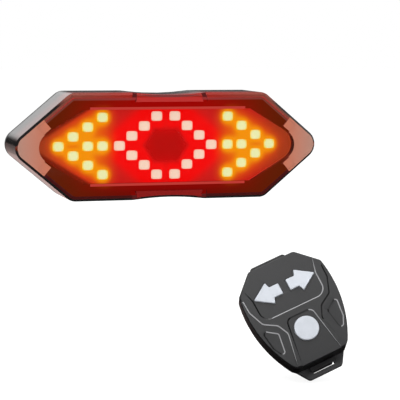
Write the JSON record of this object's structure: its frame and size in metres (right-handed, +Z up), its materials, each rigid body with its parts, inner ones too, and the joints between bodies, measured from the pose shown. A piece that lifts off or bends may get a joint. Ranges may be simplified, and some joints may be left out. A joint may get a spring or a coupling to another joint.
{
  "type": "bicycle turn signal light",
  "caption": "Long hexagonal tail light with turn arrows and a brake ring of lights, on a seatpost bracket, with a shield-shaped handlebar remote.",
  "frame": {"origin": "on the seatpost's axis, at the mid height of the light and of its clamp", "axes": "+Z up along the seatpost, the light faces -Y (behind the bicycle), +X to the right as seen from behind"},
  "size_m": [0.2065, 0.2104, 0.1576],
  "materials": {
    "housing_gloss": "gloss smoked black-red moulding",
    "cover_black": "fine satin moulding",
    "seal_rubber": "matt",
    "screw_steel": "blackened steel",
    "lens_red": "clear red, polished",
    "baffle_red": "satin red",
    "reflector_red": "satin red",
    "circuit_board": "green solder mask",
    "led_red": "lit, pinkish white",
    "led_amber": "lit, yellow white",
    "module_metal": "tinned can",
    "battery_wrap": "foil pouch",
    "inner_plastic": "matt moulding",
    "foam": "closed-cell foam",
    "lead_insulation": "satin",
    "plug_white": "matt",
    "port_metal": "bright",
    "plug_rubber": "matt",
    "button_rubber": "matt",
    "switch_black": "matt",
    "bracket_black": "fine texture",
    "pad_rubber": "matt",
    "strap_rubber": "matt silicone",
    "remote_charcoal": "fine satin texture",
    "remote_black": "satin",
    "dome_metal": "bright",
    "cell_steel": "bright",
    "clip_metal": "nickel plated",
    "key_grey": "satin light grey"
  },
  "bodies": {
    "bicycle_side": {"mount_bracket": "bracket_black", "bracket_pad": "pad_rubber", "seatpost_strap": "strap_rubber", "remote_case": "remote_charcoal", "remote_gasket": "seal_rubber", "remote_base": "remote_black", "remote_screws": "screw_steel", "remote_board": "circuit_board", "remote_switches": "dome_metal", "coin_cell": "cell_steel", "cell_clip": "clip_metal", "handlebar_pad": "pad_rubber", "handlebar_strap": "strap_rubber"},
    "light": {"front_housing": "housing_gloss", "rear_cover": "cover_black", "cover_seal": "seal_rubber", "case_screws": "screw_steel", "lens": "lens_red", "led_baffle": "baffle_red", "centre_reflector": "reflector_red", "light_board": "circuit_board", "brake_leds": "led_red", "left_turn_leds": "led_amber", "right_turn_leds": "led_amber", "radio_module": "module_metal", "battery": "battery_wrap", "battery_tray": "inner_plastic", "battery_pad": "foam", "battery_leads": "lead_insulation", "battery_plug": "plug_white", "charging_port": "port_metal", "power_switch": "switch_black"},
    "power_button": {"power_button": "button_rubber"},
    "port_plug": {"port_plug": "plug_rubber"},
    "left_key": {"left_key": "key_grey"},
    "right_key": {"right_key": "key_grey"},
    "mode_key": {"mode_key": "key_grey"}
  },
  "joints": [
    {"name": "light_release", "type": "slide", "parent": "bicycle_side", "child": "light", "axis": [0, 0, 1], "range_m": [0, 0.03]},
    {"name": "power_button_press", "type": "slide", "parent": "light", "child": "power_button", "axis": [0, 0, 1], "range_m": [0, 0.0008], "stiffness_N_per_m": 1200, "springref_m": -0.0002},
    {"name": "port_plug_hinge", "type": "hinge", "parent": "light", "child": "port_plug", "pos_m": [0.0094, -0.04057, -0.02], "axis": [0, 1, 0], "range_deg": [0, 90], "stiffness_Nm_per_rad": 0.0005, "springref_deg": -5.73},
    {"name": "left_key_press", "type": "slide", "parent": "bicycle_side", "child": "left_key", "axis": [0.2571, 0.8419, -0.4744], "range_m": [0, 0.0006], "stiffness_N_per_m": 1500, "springref_m": -0.0002},
    {"name": "right_key_press", "type": "slide", "parent": "bicycle_side", "child": "right_key", "axis": [0.2571, 0.8419, -0.4744], "range_m": [0, 0.0006], "stiffness_N_per_m": 1500, "springref_m": -0.0002},
    {"name": "mode_key_press", "type": "slide", "parent": "bicycle_side", "child": "mode_key", "axis": [0.2571, 0.8419, -0.4744], "range_m": [0, 0.0006], "stiffness_N_per_m": 1500, "springref_m": -0.0002}
  ]
}
